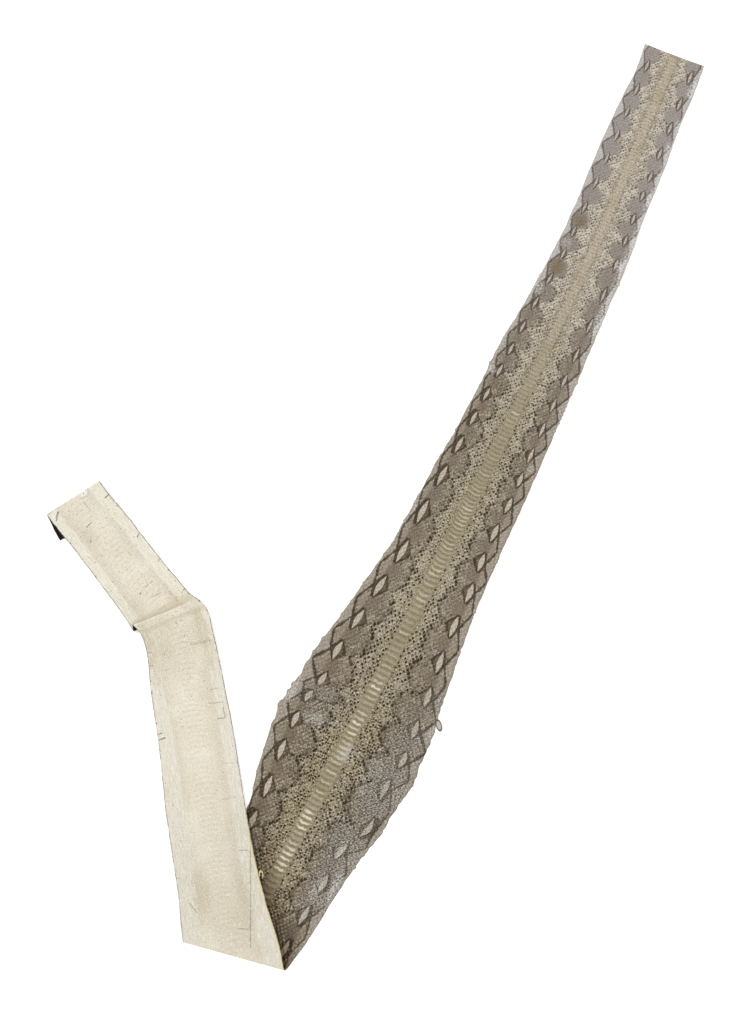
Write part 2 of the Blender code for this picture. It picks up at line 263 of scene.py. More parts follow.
# where the markings lie
# Each side has a row of pale lozenges. Dark lines cross just outside each one and meet at a peak between
# two. Blotches lie between the lozenges and reach in towards the belly plates.
belly = {
    "centre": ((0, -1.5), (240, -1.2), (400, 0.5), (600, 2.0), (750, 3.0), (900, 4.0), (1546, 2.0)),
    "half": ((0, 4.0), (300, 4.5), (420, 6.4), (500, 7.6), (600, 7.2), (1000, 7.2), (1546, 6.0)),
    "pitch": ((0, 3.6), (200, 3.8), (300, 4.0), (400, 4.6), (540, 4.6), (580, 5.7), (780, 5.5), (860, 5.8),
              (1000, 6.0), (1160, 5.2), (1546, 4.8)),
    "rowPitch": ((0, 1.9), (300, 2.0), (500, 2.2), (700, 2.4), (900, 2.4), (1160, 2.0), (1546, 1.9)),
}
markings = {
    "left": {
        "lozenges": (21.7, 47.5, 71.7, 97.2, 122.5, 148.7, 176.2, 202.8, 227.8, 256.7, 284.2, 311.7, 336.7,
                     360.8, 388.3, 415, 445, 480, 521.7, 567.5, 608.3, 647.5, 685, 719.2, 737.5, 765, 798.3,
                     838.3, 875.8),
        "inner": ((0, 12.5), (230, 13), (280, 16), (340, 18.5), (400, 20), (500, 20.5), (560, 21.5),
                  (600, 23), (640, 25.5), (670, 28), (730, 28), (800, 30), (860, 31), (1000, 26),
                  (1160, 20), (1546, 13)),
        "row": ((0, 20), (120, 22), (200, 24), (230, 24.5), (257, 26.7), (284, 29.5), (312, 30.8),
                (361, 32.7), (415, 35.3), (480, 38.2), (522, 40), (567, 40), (608, 44.7), (647, 49.2),
                (685, 53.7), (719, 53.6), (737, 58.0), (765, 59.2), (798, 57.5), (838, 52.5), (876, 50),
                (960, 44), (1050, 37), (1160, 29), (1350, 24), (1546, 19)),
        "peaks": ((0, 28.5), (35, 29.4), (60, 30.7), (85, 32), (137, 32.7), (193, 31.7), (217, 33.3),
                  (242, 35), (275, 37), (301, 40), (352, 41.7), (405, 43.8), (464, 47.3), (498, 50),
                  (547, 51.7), (591, 55.8), (631, 61.3), (668, 66.7), (706, 72.8), (736, 69.2), (755, 75.8),
                  (786, 74.7), (822, 68.7), (858, 62.5), (960, 54), (1050, 45), (1160, 37), (1350, 31),
                  (1546, 25)),
        "cross": ((0, 2.6), (250, 3.2), (300, 4.2), (600, 6.2), (700, 7), (1546, 3)),
    },
    "right": {
        "lozenges": (15.8, 44.7, 70.8, 98.3, 123.3, 142.5, 168.3, 190.8, 215.8, 249, 282.5, 315, 342.8,
                     369.2, 395.8, 424.2, 450.8, 478.3, 509.2, 541.7, 573.3, 610.8, 650, 685.8, 720.8,
                     752.5, 785, 830.8, 861.7, 898.3, 935.8, 976.7),
        "inner": ((0, 14), (230, 15.5), (300, 17.5), (400, 19), (500, 17.5), (560, 17), (630, 18.5),
                  (700, 21), (800, 23), (860, 19), (950, 18.5), (1050, 19), (1160, 17), (1546, 13)),
        "row": ((0, 23.5), (100, 25), (168, 25.8), (191, 27), (249, 29), (343, 30), (424, 32.2),
                (478, 34.2), (509, 33.8), (542, 35), (573, 38.3), (611, 39.2), (650, 43), (686, 48),
                (721, 51.7), (752, 55), (785, 51.7), (831, 55.5), (862, 41.5), (898, 41.7), (936, 39.2),
                (977, 36.7), (1050, 33), (1160, 28), (1350, 23), (1546, 19)),
        "peaks": ((0, 29.7), (28, 31), (57, 32.5), (108, 33.7), (150, 34.2), (201, 36.2), (228, 35.8),
                  (268, 37.5), (298, 38), (329, 40.5), (382, 42.2), (436, 43.8), (493, 45.3), (528, 45),
                  (559, 49.2), (592, 50.5), (632, 55), (667, 59), (702, 66.7), (738, 72.5), (778, 69),
                  (841, 64), (883, 57.5), (920, 54), (962, 50), (1050, 42), (1160, 36), (1350, 30),
                  (1546, 25)),
        "cross": ((0, 3.2), (500, 4.4), (600, 5.4), (700, 6.5), (1546, 3)),
    },
}
lozenge = {
    "halfHeight": ((0, 1.5), (340, 1.5), (400, 1.9), (450, 2.4), (480, 2.9), (650, 3.4), (900, 3.2),
                   (1546, 1.8)),
    "darkBelow": ((0, 2.0), (250, 2.6), (400, 4.2), (650, 6.0), (900, 5.0), (1546, 2.5)),
    "firstPitch": 26, "hiddenPitch": 35, "hiddenEnd": 1640,        # hidden: where the pattern faces down
    "crossToEdge": 2.5, "crossToPeak": 1.2, "peakToEdge": 0.8, "insideLevel": 4,
}
lineThickness = ((0, 1.8), (400, 2.2), (700, 2.6), (850, 2.5), (930, 1.9), (1546, 2.0))
# spots: their place along and across in pixels, their size each way, and their strength
scuffAndSheenSpots = (   # white scuffs, and painted sheen streaks on the right side near the fold
    (30, -31, 7, 5, 1.0), (268, -36, 28, 6, 0.8), (269, 33, 8, 6, 0.7), (363, 40, 4, 6, 0.8),
    (436, -39, 5, 5, 0.5), (757, 38, 7, 22, 0.55), (742, 75, 18, 5, 0.6), (780, -30, 30, 16, 0.25),
    (772, -5, 14, 12, 0.35), (752, 30, 5, 20, 0.5), (898, -53, 26, 5, 0.7), (905, -38, 20, 7, 0.45),
    (860, -42, 12, 5, 0.5), (705, -68, 30, 4, 0.4), (560, -52, 30, 3, 0.3), (520, 50, 14, 3, 0.4),
    (150, -35, 130, 4.5, 0.7), (90, -31, 9, 4, 0.8), (145, -33, 14, 4, 0.8), (216, -33, 9, 5, 0.9),
    (65, -31, 8, 4, 0.7), (216, 27, 7, 8, 0.4), (22, -31, 5, 4, 1.0),
)
warmSpots = (   # blotches of a warmer brown
    (190, 22, 9, 9, 1.0), (242, 24, 12, 10, 1.0), (375, 28, 12, 9, 0.8), (402, 31, 10, 8, 0.7),
    (545, 33, 14, 12, 0.4), (705, 50, 13, 16, 0.5), (820, 44, 15, 14, 0.6), (782, 52, 12, 16, 0.5),
    (388, -26, 8, 8, 0.4),
)
wornSpots = (   # where the pattern is rubbed to fine grey specks
    (790, -52, 50, 30, 0.85), (850, -42, 46, 26, 0.8), (905, -44, 40, 22, 0.7), (735, 46, 20, 32, 0.5),
    (735, -50, 34, 26, 0.6), (920, 34, 30, 18, 0.5), (690, -55, 24, 16, 0.5), (840, -14, 60, 10, 0.3),
)
stains = (      # tan patches of the flesh side
    (1075, 19, 30, 12, 0.75), (1040, -10, 34, 16, 0.5), (1055, 4, 40, 26, 0.3), (1315, 0, 34, 40, 0.35),
    (1320, 14, 18, 12, 0.6), (1472, 9, 16, 9, 0.6), (1210, -16, 50, 10, 0.25), (1385, 20, 12, 9, 0.4),
    (1275, -16, 36, 10, 0.35), (1330, 29, 50, 8, 0.9), (1325, -26, 44, 8, 0.8), (1012, 0, 12, 44, 0.25),
    (1340, 10, 24, 14, 0.5), (1060, -20, 36, 10, 0.6),
)
brightSpots = (   # belly plates that are paler than the rest
    (394, 1, 4, 9, 0.7), (700, 3, 14, 9, 0.5), (747, 3, 14, 9, 0.55), (775, 3, 6, 9, 0.4),
    (852, 4, 15, 9, 1.0), (897, 4, 15, 9, 1.0), (512, 1, 16, 10, 0.35),
)


def spotShare(spots, along, offset):
    # the strongest of several soft round spots at each place
    share = np.zeros(len(along))
    for place, across, sizeAlong, sizeAcross, strength in spots:
        reach = np.hypot((along / pixel - place) / sizeAlong, (offset / pixel - across) / sizeAcross)
        share = np.maximum(share, strength * (1 - smoothStep(0.35, 1.15, reach)))
    return share


def bellyEdge(side, along):
    # how far from the middle line the belly plates reach
    return sides[side] * photoCurve(along, belly["centre"]) + photoCurve(along, belly["half"])


def markingLevels(side, along):
    # distances from the middle line that each feature of the pattern keeps, from the belly out to the edge
    names = ("row", "inner", "cross", "peaks")
    row, inner, cross, peaks = (photoCurve(along, markings[side][name]) for name in names)
    half = photoCurve(along, lozenge["halfHeight"])
    edge = np.interp(along, steps, drawnReaches[side])
    foot = row - half
    below = np.maximum(foot - photoCurve(along, lozenge["darkBelow"]), inner + 0.4 * (foot - inner))
    crossings = np.minimum(row + cross, edge - lozenge["crossToEdge"] * pixel)
    peaks = np.clip(peaks, crossings + lozenge["crossToPeak"] * pixel, edge - lozenge["peakToEdge"] * pixel)
    top = row + np.minimum(half, 0.72 * (crossings - row))
    return np.stack([bellyEdge(side, along), inner, below, foot, row, top, crossings, peaks, edge])


def patternPlace(side, along, offset):
    # count goes up by one at each pale lozenge, level by one at each feature outwards. The third value is
    # half the thickness of a dark line in levels, the fourth how much longer levels are past the crossings
    lozenges = np.array(markings[side]["lozenges"])
    more = np.arange(lozenges[-1] + lozenge["hiddenPitch"], lozenge["hiddenEnd"], lozenge["hiddenPitch"])
    lozenges = np.concatenate([[lozenges[0] - lozenge["firstPitch"]], lozenges, more]) * pixel
    count = np.interp(along, lozenges, np.arange(len(lozenges)))
    levels = markingLevels(side, along)
    row, crossings, peaks = levels[4], levels[6], levels[7]
    distance = np.abs(offset)
    level = np.minimum(0, (distance - levels[0]) / (lozenge["insideLevel"] * pixel))
    for inside, outside in zip(levels[:-1], levels[1:]):
        level = level + np.clip((distance - inside) / np.maximum(outside - inside, 1e-5), 0, 1)
    spacing = np.interp(along, lozenges[:-1], np.diff(lozenges))
    rise = (peaks - crossings) / (spacing / 2)
    thickness = photoCurve(along, lineThickness) / 2 * np.sqrt(1 + rise ** 2) / (peaks - crossings)
    longer = (peaks - crossings) / np.maximum((crossings - row) / 2, 1e-4)
    return np.column_stack([count, level, thickness, longer])


def surfaceMarks(along, offset):
    marks = np.empty((len(along), 4))
    for side, there in (("left", offset >= 0), ("right", offset < 0)):
        marks[there] = patternPlace(side, along[there], offset[there])
    return marks


def markAttributes(marks, marksHere):
    return {"marks": marks[:, :3], "marksHere": marksHere[:, [0, 1, 3]]}


def surfaceWear(along, offset, kinds=(scuffAndSheenSpots, warmSpots, wornSpots)):
    return np.column_stack([spotShare(spots, along, offset) for spots in kinds])


def fleshWear(along, offset):
    # stains, and how far a place is in from its margin and from its edge
    margin = np.where(offset > 0, *(photoCurve(along, flesh["margins"][side]) for side in sides))
    inward = reachAt(along, offset) - np.abs(offset)
    return np.column_stack([spotShare(stains, along, offset), inward - margin, inward])


def placeOf(along, offset):
    return np.column_stack([along, offset, np.zeros(len(along))])


# materials
class Wire:
    # a socket of a material's nodes; arithmetic on it adds Math nodes
    def __init__(self, finish, socket):
        self.finish, self.socket = finish, socket

    def math(self, operation, *values):
        return self.finish.node("Math", {"operation": operation}, dict(enumerate(values)))

    def __add__(self, other):
        return self.math("ADD", self, other)

    def __radd__(self, other):
        return self.math("ADD", other, self)

    def __sub__(self, other):
        return self.math("SUBTRACT", self, other)

    def __rsub__(self, other):
        return self.math("SUBTRACT", other, self)

    def __mul__(self, other):
        return self.math("MULTIPLY", self, other)

    def __rmul__(self, other):
        return self.math("MULTIPLY", other, self)

    def __truediv__(self, other):
        return self.math("DIVIDE", self, other)

    def __pow__(self, other):
        return self.math("POWER", self, other)

    def size(self):
        return self.math("ABSOLUTE", self)

    def rounded(self):
        return self.math("ROUND", self)

    def fromWhole(self):
        return (self - self.rounded()).size()

    def sine(self):
        return self.math("SINE", self)

    def least(self, other):
        return self.math("MINIMUM", self, other)

    def most(self, other):
        return self.math("MAXIMUM", self, other)

    def between(self, low, high):
        return self.math("MAXIMUM", self, low).least(high)

    def step(self, low, high):
        # 0 below low, 1 above high and smooth between; high may be the lower one
        return self.finish.node("MapRange", {"interpolation_type": "SMOOTHSTEP"},
                                {0: self, 1: low, 2: high, 3: 0.0, 4: 1.0})


class Finish:
    # a material being made, and its colour so far
    def __init__(self, name):
        self.material = bpy.data.materials.new(name)
        self.material.use_nodes = True
        self.tree = self.material.node_tree
        self.shader = self.tree.nodes["Principled BSDF"]

    def node(self, kind, settings=None, sockets=None, out=0):
        made = self.tree.nodes.new("ShaderNode" + kind)
        for name, value in (settings or {}).items():
            setattr(made, name, value)
        for name, value in (sockets or {}).items():
            self.feed(made.inputs[name], value)
        return Wire(self, made.outputs[out])

    def feed(self, socket, value):
        # a wire is linked, and a paint's name stands for its colour
        if isinstance(value, Wire):
            self.tree.links.new(value.socket, socket)
        else:
            socket.default_value = paints[value] if isinstance(value, str) else value

    def attribute(self, name):
        return self.node("Attribute", {"attribute_name": name}, out="Vector")

    def parts(self, name):
        split = self.node("SeparateXYZ", None, {0: self.attribute(name)})
        return [Wire(self, socket) for socket in split.socket.node.outputs]

    def noise(self, scale, detail=2.0, roughness=0.5, vector=None):
        return self.node("TexNoise", None, {"Vector": vector or self.place, "Scale": scale, "Detail": detail,
                                            "Roughness": roughness})

    def vector(self, operation, *values, out=0):
        return self.node("VectorMath", {"operation": operation}, dict(enumerate(values)), out)

    def mix(self, share, first, second, how="MIX"):
        return self.node("Mix", {"data_type": "RGBA", "blend_type": how}, {0: share, 6: first, 7: second}, 2)

    def graded(self, name):
        # a paint that turns to another one towards the narrow end
        return self.mix(self.narrow, name, name + "Narrow")

    def lay(self, share, paint):
        self.colour = self.mix(share, self.colour, paint)

    def darken(self, share, paint):
        self.colour = self.mix(share, self.colour, paint, "MULTIPLY")

    def finished(self, roughness, height=None, distance=0.0, strength=0.0):
        self.feed(self.shader.inputs["Base Color"], self.colour)
        self.feed(self.shader.inputs["Roughness"], roughness)
        self.shader.inputs["IOR"].default_value = 1.45
        self.shader.inputs["Specular IOR Level"].default_value = 0.2
        if height is not None:
            bump = self.node("Bump", None, {"Height": height, "Distance": distance, "Strength": strength})
            self.feed(self.shader.inputs["Normal"], bump)
        return self.material


def tint(red, green, blue):
    # a colour as seen on screen, made linear
    linear = [((c / 255 + 0.055) / 1.055) ** 2.4 if c > 10 else c / 255 / 12.92 for c in (red, green, blue)]
    return (*linear, 1.0)


paints = {name: tint(*colour) for name, colour in {
    # the patterned side
    "cream": (188, 177, 155), "creamNarrow": (213, 204, 189),
    "besideBelly": (170, 160, 134), "belly": (141, 131, 105), "bellyNarrow": (184, 173, 153),
    "bellyBar": (222, 214, 194), "bellyRough": (206, 196, 176), "bellyDrift": (214, 206, 178),
    "blotch": (124, 112, 98), "blotchNarrow": (157, 149, 143), "warm": (126, 108, 84),
    "outer": (162, 150, 134), "lozenge": (198, 187, 171), "lozengeNarrow": (196, 188, 182),
    # the last colour below is for white scuffs and for painted sheen
    "edge": (164, 155, 142), "edgeNarrow": (193, 188, 183), "dark": (60, 47, 34), "scuffAndSheen": (228, 225, 221),
    "spot": (50, 37, 18), "worn": (198, 191, 181), "wornDark": (48, 38, 28), "between": (241, 237, 233),
    "outline": (120, 106, 92), "shade": (134, 121, 105), "glint": (224, 214, 192),
    # the last colour below is the painted shadow under the folded limb's far end
    "glintNarrow": (229, 220, 205), "deeper": (240, 237, 231), "shadowUnderLimb": (20, 15, 11),
    "wedge": (106, 91, 74),
    # the second colour below darkens the band beside the folded flap: painted shadow with some dirt
    "speck": (100, 86, 62), "flapShadowAndDirt": (162, 146, 124), "ochre": (166, 151, 110),
    # the flesh side
    "band": (223, 215, 196), "margin": (222, 217, 203), "marginFar": (229, 224, 208),
    # the first colour below is for stains and also for the painted shade beside the pleat
    "stainAndShade": (196, 184, 158), "bandEdge": (192, 184, 166), "crease": (92, 80, 64), "pale": (247, 242, 228),
    "flapEdge": (224, 207, 156), "rust": (156, 130, 86), "rim": (108, 95, 76), "grainRim": (176, 169, 158),
    # painted shade on the flesh side near the fold
    "foldShade": (244, 244, 243),
    "chalk": (240, 240, 239),
    # the scraps at the edges, outside and inside, and the floor
    "scrap": (112, 100, 86),
    "scrapInside": (196, 189, 177), "hook": (226, 214, 180), "hookInside": (206, 190, 150),
    "floor": (251, 252, 252), "floorGrain": (250, 251, 251),
}.items()}
pattern = {   # shares of the distance from one lozenge to the next, and steps of level
    "blotchHalf": 0.54, "blotchNarrower": 0.18, "blotchRound": 2.8, "rim": 0.17,
    "tips": 0.30, "tipsShorter": 0.05, "tipPower": 1.7, "surroundTips": 1.25, "surroundPower": 1.35,
    "flatInside": 1.35, "coreHalf": 0.34, "coreLevel": 4.3, "coreReach": 3.0,
}


def skinFinish(name):
    f = Finish(name)
    f.place = f.attribute("place")
    f.along, f.offset, _ = f.parts("place")
    return f


def patternedFinish(name):
    # with streaks along lines that lean back towards the narrow end as they go outwards, and with the band
    # beside the flap that is folded over the skin, darkened by painted shadow of the flap together with some
    # dirt
    f = skinFinish(name)
    along, offset, distance = f.along, f.offset, f.offset.size()
    f.narrow = 1 - along.step(0.30, 0.75)
    lengthwise = (along * 0.85 + distance * 0.53) * 2.4
    drawnOut = {0: lengthwise, 1: distance * 0.85 - along * 0.53, 2: offset.step(-0.001, 0.001) * 4}
    f.streaks = f.noise(330.0, 2.0, 0.6, f.node("CombineXYZ", None, drawnOut))
    # the band beside the folded flap, where painted shadow with some dirt is laid later
    f.besideFlap = (along + offset * 1.11).step(1.435, 1.50) * (1 - offset.step(0.03, 0.07) * 0.5)
    f.besideFlap = f.besideFlap * (1 - along.step(1.62, 1.70))
    return f


def grainColour(f, tone):
    # the pattern of the skin's sides, from the counts and levels of its features
    count, level, line = f.parts("marks")
    countHere, levelHere, longer = f.parts("marksHere")
    scuffAndSheen, warmth, worn = f.parts("wear")
    along, narrow, streaks = f.along, f.narrow, f.streaks
    rough, drift, specks = f.noise(300.0), f.noise(26.0), f.noise(520.0, 1.0)
    f.fine = f.noise(900.0, 2.0, 0.6)
    jitter = rough - 0.5
    away, awayHere, other = count.fromWhole(), countHere.fromWhole(), (tone * 7.3).fromWhole() * 2

    def inked(reach):
        return 1 - (reach + jitter * 1.1).step(0.60, 1.25)

    # the pale zone beside the belly plates, and the round-ended blotches that stand in it
    blotchHalf = pattern["blotchHalf"] - pattern["blotchNarrower"] * narrow
    past = levelHere - (1 + ((0.5 - awayHere) / blotchHalf) ** pattern["blotchRound"]) + jitter * 0.3
    inside = past.step(-0.10, 0.12)
    cream = f.mix(levelHere.step(0.0, 0.7), f.mix(narrow, "besideBelly", "bellyNarrow"), f.graded("cream"))
    ochre = along.step(1.08, 1.28) * (1 - levelHere.step(0.5, 1.6)) * drift.step(0.32, 0.55)
    brown = f.mix(1 - along.step(0.12, 0.60), "blotch", "blotchNarrow")
    brown = f.mix(warmth * (0.6 + 0.4 * drift), brown, "warm")
    brown = f.mix(level.step(4.6, 5.8) * (0.3 + 0.8 * drift) * (1 - narrow), brown, "outer")
    sideways = (0.5 - away) / pattern["coreHalf"]
    outwards = (level - pattern["coreLevel"]) / pattern["coreReach"]
    core = 1 - (sideways * sideways + outwards * outwards).step(0.35, 1.2)
    core = inside * core.most(narrow * past.step(0, 0.6))
    f.colour = f.mix(ochre * 0.8, cream, "ochre")
    f.lay(inside * (0.40 + 0.35 * other), brown)
    f.darken((1 - core) * (other * other) * 0.55, "shade")
    f.lay(core, brown)
    f.darken(along.step(0.95, 1.20), "deeper")

    # beyond the zigzag lines the skin is pale grey
    zigzag = 6 + 2 * away
    beyond = (level - zigzag).step(-0.05, 0.05)
    f.lay(beyond, f.graded("edge"))
    # streaks of painted shade and painted highlight, and dark specks, strong in the pale zone and faint in
    # the blotches' smooth cores
    contrast = (0.98 - 0.66 * core.most(beyond * 0.7).most(inside * 0.45)) * (1 - narrow * 0.50)
    f.darken(streaks.step(0.50, 0.38) * 0.8 * contrast, "shade")
    f.lay(specks.step(0.55, 0.66) * (1 - narrow * 0.7) * 0.5 * contrast, "speck")
    f.lay(streaks.step(0.52, 0.62) * 0.75 * contrast, f.graded("glint"))
    # the zigzag lines themselves, which step a little with the scales
    worked = (0.50 + 0.50 * streaks.step(0.36, 0.50)) * (1 - 0.35 * specks.step(0.52, 0.62) * (1 - narrow))
    stepped = levelHere - level + 2 * (away - awayHere)
    lines = inked((level - zigzag + stepped * 0.4).size() / line) * worked
    f.lay(lines * (1 - 0.3 * narrow), "dark")

    # dark arms run on from the crossed lines past each lozenge's tips. A brown wedge with dark specks and a
    # dark outline lies on its inner side
    tips = pattern["tips"] - pattern["tipsShorter"] * narrow
    arms = inked((level - 6 + away * longer * 2) / (line * longer))
    upper = level.step(3.9, 4.2)
    arms = arms * upper * (1 - level.step(6.0, 6.1)) * (1 - away.step(tips + 0.01, tips + 0.06)) * worked
    depth = (away / (tips * pattern["surroundTips"])) ** pattern["surroundPower"]
    depth = (4 - level) / 2 + depth + jitter * 0.45
    wedge = (1 - depth.step(0.92, 1.06)) * (1 - upper)
    f.lay(wedge * 0.8, "wedge")
    speckled = streaks.step(0.50, 0.42).most(level.step(3.0, 3.5)).most(depth.step(0.66, 0.84))
    shade = arms.most(wedge * (speckled * (0.5 + 0.5 * other)))
    f.lay(shade * (1 - 0.35 * narrow), "dark")
    pale = (level - 4).most((4 - level) * pattern["flatInside"]) + (away / tips) ** pattern["tipPower"]
    lens = 1 - (pale + jitter * 0.35).step(0.88, 1.06)
    dulled = streaks.step(0.50, 0.38).most(specks.step(0.54, 0.64)) * 0.45
    bright = f.mix(dulled, f.graded("lozenge"), "shade", "MULTIPLY")
    f.lay(lens, f.mix(streaks.step(0.54, 0.64) * 0.4, bright, "glintNarrow"))

    marked = lines.most(shade)
    f.lay(worn * 0.85 * (1 - 0.6 * marked), f.mix(streaks.step(0.455, 0.56), "wornDark", "worn"))
    # painted shadow of the folded flap, with some dirt, darkens the band beside it
    f.darken(f.besideFlap * (0.6 + 0.4 * drift), "flapShadowAndDirt")
    # white scuffs laid in streaks; on the right side near the fold they are painted sheen
    f.lay(scuffAndSheen * (rough * 0.4 + streaks * 0.6).step(0.44, 0.57), "scuffAndSheen")
    # the patterned edge that shows under the folded limb's far end is painted nearly black: its dark pattern
    # deepened by painted shadow
    f.lay(along.step(2.12, 2.14) * f.offset.step(0.030, 0.040), "shadowUnderLimb")
    rim = (1 - (past.size() / pattern["rim"]).step(0.5, 1.2)) * (1 - 0.7 * narrow) * (1 - worn * 0.6)
    plain = core.most(beyond).most(marked).most(lens).most(wedge * 0.7).most(inside * 0.4)
    return levelHere, plain, rim, past


def scaleFinish():
    f = patternedFinish("side scales")
    ahead, outward, tone = f.parts("plate")
    levelHere, plain, rim, past = grainColour(f, tone)
    ragged = (f.noise(620.0, 1.0) - 0.5) * 2.6

    def oval(forward, sideways, roughness, low, high):
        # 1 inside an oval of the scale and 0 outside it
        return 1 - (forward * forward + sideways * sideways + ragged * roughness).step(low, high)

    # near the fold the scales have light middles, which are painted highlights, and a second, smaller dot
    wide = f.along.step(1.00, 1.20)
    f.lay(oval(ahead + 0.05, outward, 0.1, 0.02, 0.30) * wide * (1 - plain) * (0.12 + 0.3 * tone), "glint")
    second = oval((ahead + 0.50) / 0.42, (outward - 0.25 + 0.5 * tone) / 0.44, 1, 0.55, 1.0)
    second = second * wide * ((tone * 5.1).fromWhole() * 2).step(0.15, 0.85)
    # the tips of many scales are dark in the pale zone, and whole scales along the blotches' outlines
    near = 1 - past.size().step(0.0, 0.8)
    strong = (tone + f.narrow * 0.25 + f.along.step(0.74, 0.96) * 0.12).step(0.35, 0.80)
    size = 0.27 + 0.17 * strong + 0.1 * near - 0.06 * f.narrow
    fading = 1 - f.narrow * (0.60 - 0.40 * levelHere.step(0.1, 0.7))
    deep = 0.35 - 0.20 * wide
    dotted = oval((ahead - 0.35) / size, outward / (size + 0.08), 1, 0.55, 1.0)
    dotted = (dotted * (deep + (1 - deep) * strong.most(near * 0.6)) * fading).most(second)
    f.lay(dotted * (1 - plain), "spot")
    patched = oval((ahead - 0.15) / 0.85, outward / 0.9, 0.6, 0.35, 0.90)
    f.lay(patched * (0.45 + 0.5 * tone.step(0.10, 0.60)) * rim, "spot")
    # darker borders round each scale, partly their own darker edges and partly painted shade between the
    # scales
    line = (1 - oval(ahead, outward, 0.25, 0.50, 1.00)) * (1 + wide * 0.5)
    f.darken(line * (0.38 - 0.30 * plain), "outline")
    return f.finished(0.55 + 0.18 * f.fine, f.fine, 0.00012, 0.6)


def bellyFinish():
    f = patternedFinish("belly plates")
    ahead, outward, tone = f.parts("plate")
    scuffAndSheen, glow, _ = f.parts("wear")
    along, narrow, streaks = f.along, f.narrow, f.streaks
    drift, rough, fine = f.noise(22.0), f.noise(300.0), f.noise(1100.0, 2.0, 0.6)
    f.colour = f.graded("belly")
    bright = along.step(0.45, 0.95) * (0.22 + 0.5 * tone.step(0.3, 1.0)) + glow
    ahead = ahead + (f.noise(170.0, 1.0) - 0.5) * 1.3
    ends = outward.size() + (rough - 0.5) * 0.6
    bar = ahead.step(-0.35, 0.0) * (1 - ahead.step(0.25, 0.65)) * (1 - ends.step(0.5, 0.8))
    f.lay((bar * bright * (0.3 + 1.2 * rough)).between(0, 1), "bellyBar")
    f.lay((1 - ahead.step(-0.9, -0.5)) * 0.18, "spot")
    f.lay(ends.step(0.5, 1.0) * streaks.step(0.50, 0.36) * 0.5, "shade")
    # the plates' ends are as light and as specked as the scales beside them
    blended = ends.step(0.40, 0.85) * along.step(0.45, 0.75)
    f.lay(blended * (0.3 + 0.7 * streaks.step(0.42, 0.56)), "besideBelly")
    f.lay(blended * f.noise(520.0, 1.0).step(0.53, 0.62) * 0.8, "speck")
    f.lay(streaks.step(0.50, 0.64) * (0.3 + 0.35 * narrow), f.graded("glint"))
    f.darken(streaks.step(0.48, 0.36) * narrow * 0.5, "shade")
    f.lay(f.noise(430.0, 1.0).step(0.58, 0.68) * ends.step(0.3, 1.0).most(narrow * 0.6) * 0.55, "spot")
    f.darken(rough.step(0.35, 0.7) * 0.4, "bellyRough")
    f.darken(drift.step(0.45, 0.7) * 0.3, "bellyDrift")
    # painted shadow of the folded flap, with some dirt, darkens the plates beside it
    f.darken(f.besideFlap * 0.75, "flapShadowAndDirt")
    # white scuffs, and painted sheen on the right side near the fold
    f.lay(scuffAndSheen * rough.step(0.3, 0.6), "scuffAndSheen")
    return f.finished(0.46 + 0.2 * fine, fine, 0.0001, 0.5)


def grainFinish():
    f = patternedFinish("skin between the scales")
    grainColour(f, f.noise(420.0, 1.0))
    f.darken(1.0, "between")
    return f.finished(0.72, f.fine, 0.0002, 0.7)


flesh = {
    "creases": (   # fine dark lines: two ends in pixels along and across, half their width, their strength
        (1016, -17.5, 1053, -26, 0.6, 0.5), (1053, -26, 1083, -31.7, 0.5, 0.45),
        (1083, -31.7, 1122, -38.3, 0.6, 0.5), (1034, -8.3, 1031, -19, 0.4, 0.55),
        (1110.5, -25, 1109.5, -33.5, 0.5, 0.5), (1057, 27.5, 1068, 33.3, 0.4, 0.6),
        (1232, 36.5, 1233, 31, 0.7, 0.7), (1237, 36, 1238, 33.5, 0.7, 0.7),
        (1244, -23.5, 1244, -31.5, 0.5, 0.6), (1244, -31.5, 1254, -31, 0.5, 0.5),
        (1260.5, -17, 1259.7, -31.5, 0.4, 0.5), (1274, -21, 1274, -29, 0.4, 0.5),
        (1164, -17, 1164, -30, 0.5, 0.2), (1199, -22, 1198, -33, 0.5, 0.25),
        (1341, -3.5, 1346, -3, 0.5, 0.5), (1367, -14.3, 1389, -14.4, 0.4, 0.4),
        (1386, 2, 1384, -6.5, 0.5, 0.4), (1398, 1.5, 1398, -7.5, 0.5, 0.4), (1396, 9, 1396.4, 9, 0.8, 0.6),
        (1481, 5, 1482, -2, 0.5, 0.45), (1467, 12, 1471, 8, 0.5, 0.5), (1320, -10, 1320, -30, 1.4, 0.2),
        (1505, 24, 1510, 17, 0.6, 0.7), (1515, 27, 1512, -34, 0.5, 0.5),
        (1508.4, -13.6, 1509.4, -14.8, 0.5, 0.8), (1506, -10, 1506, -18, 0.4, 0.4),
        (1508, 22, 1511, 17, 0.5, 0.7), (1371, -24, 1372, -29, 0.6, 0.7), (1408, -25, 1409, -30, 0.5, 0.7),
        (1440, -26, 1442, -31, 0.6, 0.7), (1492, -28, 1492, -34, 0.6, 0.8), (1308, 31, 1308, 38, 0.5, 0.5),
        (1323, 30, 1323, 36, 0.5, 0.6), (1094, 39, 1094, 44, 0.6, 0.6), (1430, -9, 1436, -9.5, 0.4, 0.4),
        (1491, -8.5, 1503, -9, 0.4, 0.4)),
    "shades": (    # painted shade: soft tan bands beside the pleat's crease
        (1375, 32, 1362, -28, 4.5, 0.5), (1349, 34, 1349, -33, 2.5, 0.4)),
    "scuffs": ((1508.4, -13.6, 1508.6, -15.0, 2.3, 0.9), (1165, 44, 1200, 43, 1.0, 0.3)),
    "margins": {"left": ((1003, 17), (1200, 17), (1290, 12.5), (1546, 10.5)),
                "right": ((1003, 19), (1170, 13.5), (1546, 12))},
}


